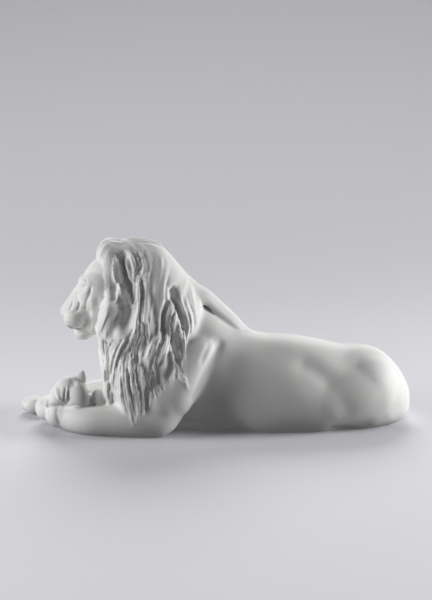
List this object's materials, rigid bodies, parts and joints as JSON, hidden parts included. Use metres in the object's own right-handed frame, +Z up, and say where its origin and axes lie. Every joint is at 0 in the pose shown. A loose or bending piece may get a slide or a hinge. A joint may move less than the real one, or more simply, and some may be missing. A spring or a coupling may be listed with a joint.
{
  "type": "lion figurine",
  "caption": "White unglazed porcelain figurine of a maned lion lying down, with a cub resting its head on the lion's near paw.",
  "frame": {"origin": "centre of the bounding box, on the flat underside that rests on a table", "axes": "+X from the lion's paws to its rump, -Y the side the picture shows, +Z up"},
  "size_m": [0.5002, 0.218, 0.2437],
  "materials": {
    "bisque_porcelain": "matte"
  },
  "bodies": {
    "root": {"lion_and_cub": "bisque_porcelain"}
  },
  "joints": []
}
